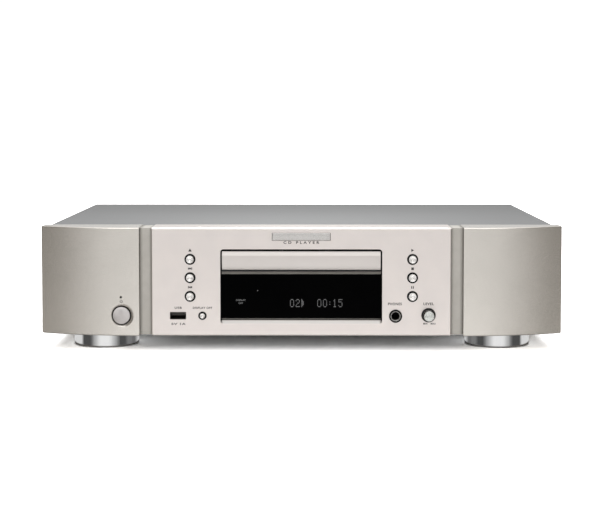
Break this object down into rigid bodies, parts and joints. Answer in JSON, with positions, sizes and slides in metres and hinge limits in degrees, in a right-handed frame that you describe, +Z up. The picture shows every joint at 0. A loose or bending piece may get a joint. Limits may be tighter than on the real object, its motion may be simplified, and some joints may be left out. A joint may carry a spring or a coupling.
{
  "type": "compact disc player",
  "caption": "Full-width compact disc player with a motor-driven disc tray, dark display window, round keys, curved metal cheeks and wide round feet.",
  "frame": {"origin": "bottom centre of the whole player, on the surface it stands on", "axes": "+Z up, front faces -Y, +X to the right seen from the front"},
  "size_m": [0.44, 0.341, 0.1045],
  "materials": {
    "panel_metal": "fine satin, light warm silver",
    "cheek_metal": "satin, light warm silver",
    "subframe_plastic": "satin, warm grey",
    "cover_paint": "fine texture, grey",
    "zinc_steel": "galvanised",
    "rear_paint": "fine texture, black",
    "chrome": "polished",
    "button_metal": "turned",
    "ring_black": "satin",
    "window_smoked": "polished, smoked",
    "black_plastic": "fine texture",
    "tube_glass": "clear",
    "board_brown": "paper laminate",
    "board_green": "lacquered laminate",
    "badge_metal": "satin, dark",
    "door_metal": "fine satin",
    "rubber": "matte",
    "screw_steel": "blackened",
    "core_steel": "varnished laminations",
    "coil_tape": "wrapped tape",
    "capacitor_sleeve": "shrink sleeve",
    "sink_aluminium": "anodised",
    "cable_grey": "ribbed",
    "loader_plastic": "fine texture",
    "tray_plastic": "fine texture",
    "gear_plastic": "natural acetal",
    "motor_steel": "plated",
    "deck_steel": "plated",
    "rod_steel": "ground",
    "lens_glass": "coated",
    "jack_gold": "gilt",
    "led_red": "clear tinted"
  },
  "bodies": {
    "chassis": {"centre_panel": "panel_metal", "left_cheek": "cheek_metal", "right_cheek": "cheek_metal", "front_subframe": "subframe_plastic", "display_bezel": "black_plastic", "display_window": "window_smoked", "display_module": "tube_glass", "front_circuit_board": "board_brown", "tact_switches": "black_plastic", "button_rings": "ring_black", "power_switch": "black_plastic", "power_led": "led_red", "usb_socket": "motor_steel", "phones_jack": "black_plastic", "phones_ring": "chrome", "level_control": "black_plastic", "badge_plate": "badge_metal", "feet": "chrome", "foot_pads": "rubber", "foot_screws": "screw_steel", "base_pan": "zinc_steel", "top_cover": "cover_paint", "case_screws": "screw_steel", "rear_panel": "rear_paint", "phono_jacks": "jack_gold", "jack_blocks": "black_plastic", "optical_socket": "black_plastic", "mains_inlet": "black_plastic", "transformer_core": "core_steel", "transformer_coil": "coil_tape", "main_circuit_board": "board_green", "capacitors": "capacitor_sleeve", "heat_sink": "sink_aluminium", "ribbon_cables": "cable_grey", "loader_frame": "loader_plastic", "clamp_bridge": "deck_steel", "loading_motor": "motor_steel", "drive_belt": "rubber"},
    "tray": {"disc_tray": "tray_plastic", "tray_door": "door_metal"},
    "tray_gear": {"tray_gear": "gear_plastic"},
    "motor_pulley": {"motor_pulley": "gear_plastic"},
    "deck": {"traverse_deck": "deck_steel", "guide_rods": "rod_steel", "deck_motors": "motor_steel"},
    "turntable": {"turntable": "black_plastic"},
    "clamper": {"clamper": "loader_plastic"},
    "sled": {"pickup_sled": "loader_plastic"},
    "sled_gear": {"sled_gear": "gear_plastic"},
    "lens": {"pickup_lens": "lens_glass"},
    "eject_button": {"eject_button": "button_metal"},
    "skip_forward_button": {"skip_forward_button": "button_metal"},
    "skip_back_button": {"skip_back_button": "button_metal"},
    "play_button": {"play_button": "button_metal"},
    "stop_button": {"stop_button": "button_metal"},
    "pause_button": {"pause_button": "button_metal"},
    "display_button": {"display_button": "button_metal"},
    "power_button": {"power_button": "button_metal"},
    "level_knob": {"level_knob": "button_metal", "level_shaft": "rod_steel"}
  },
  "joints": [
    {"name": "tray_slide", "type": "slide", "parent": "chassis", "child": "tray", "axis": [0, -1, 0], "range_m": [0, 0.137]},
    {"name": "tray_gear_spin", "type": "hinge", "parent": "chassis", "child": "tray_gear", "pos_m": [-0.048, -0.125, 0.062], "axis": [0, 0, 1], "range_deg": [0, 982]},
    {"name": "motor_pulley_spin", "type": "hinge", "parent": "chassis", "child": "motor_pulley", "pos_m": [-0.048, -0.085, 0.062], "axis": [0, 0, 1], "range_deg": [0, 4585]},
    {"name": "deck_tilt", "type": "hinge", "parent": "chassis", "child": "deck", "pos_m": [0, 0.006, 0.062], "axis": [1, 0, 0], "range_deg": [0, 5.01]},
    {"name": "turntable_spin", "type": "hinge", "parent": "deck", "child": "turntable", "pos_m": [0, -0.096, 0.078], "axis": [0, 0, 1], "continuous": true},
    {"name": "clamper_spin", "type": "hinge", "parent": "chassis", "child": "clamper", "pos_m": [0, -0.096, 0.088], "axis": [0, 0, 1], "continuous": true},
    {"name": "sled_slide", "type": "slide", "parent": "deck", "child": "sled", "axis": [0, 1, 0], "range_m": [0, 0.033]},
    {"name": "sled_gear_spin", "type": "hinge", "parent": "deck", "child": "sled_gear", "pos_m": [0.0348, -0.045, 0.055], "axis": [0, 0, 1], "range_deg": [-394, 0]},
    {"name": "lens_focus", "type": "slide", "parent": "sled", "child": "lens", "axis": [0, 0, 1], "range_m": [-0.0005, 0.0005], "stiffness_N_per_m": 100},
    {"name": "eject_press", "type": "slide", "parent": "chassis", "child": "eject_button", "axis": [0, 1, 0], "range_m": [0, 0.0008], "stiffness_N_per_m": 1250},
    {"name": "skip_forward_press", "type": "slide", "parent": "chassis", "child": "skip_forward_button", "axis": [0, 1, 0], "range_m": [0, 0.0008], "stiffness_N_per_m": 1250},
    {"name": "skip_back_press", "type": "slide", "parent": "chassis", "child": "skip_back_button", "axis": [0, 1, 0], "range_m": [0, 0.0008], "stiffness_N_per_m": 1250},
    {"name": "play_press", "type": "slide", "parent": "chassis", "child": "play_button", "axis": [0, 1, 0], "range_m": [0, 0.0008], "stiffness_N_per_m": 1250},
    {"name": "stop_press", "type": "slide", "parent": "chassis", "child": "stop_button", "axis": [0, 1, 0], "range_m": [0, 0.0008], "stiffness_N_per_m": 1250},
    {"name": "pause_press", "type": "slide", "parent": "chassis", "child": "pause_button", "axis": [0, 1, 0], "range_m": [0, 0.0008], "stiffness_N_per_m": 1250},
    {"name": "display_press", "type": "slide", "parent": "chassis", "child": "display_button", "axis": [0, 1, 0], "range_m": [0, 0.0008], "stiffness_N_per_m": 1250},
    {"name": "power_press", "type": "slide", "parent": "chassis", "child": "power_button", "axis": [0, 1, 0], "range_m": [0, 0.003], "stiffness_N_per_m": 400},
    {"name": "level_turn", "type": "hinge", "parent": "chassis", "child": "level_knob", "pos_m": [0.1062, -0.165, 0.0314], "axis": [0, -1, 0], "range_deg": [-150, 150]}
  ],
  "couplings": [
    {"joint": "tray_gear_spin", "follows": "tray_slide", "rad_per_m": 125},
    {"joint": "motor_pulley_spin", "follows": "tray_slide", "rad_per_m": 583.33},
    {"joint": "deck_tilt", "follows": "tray_slide", "rad_per_m": 0.637},
    {"joint": "clamper_spin", "follows": "turntable_spin", "ratio": 1},
    {"joint": "sled_gear_spin", "follows": "sled_slide", "rad_per_m": -208.33}
  ]
}
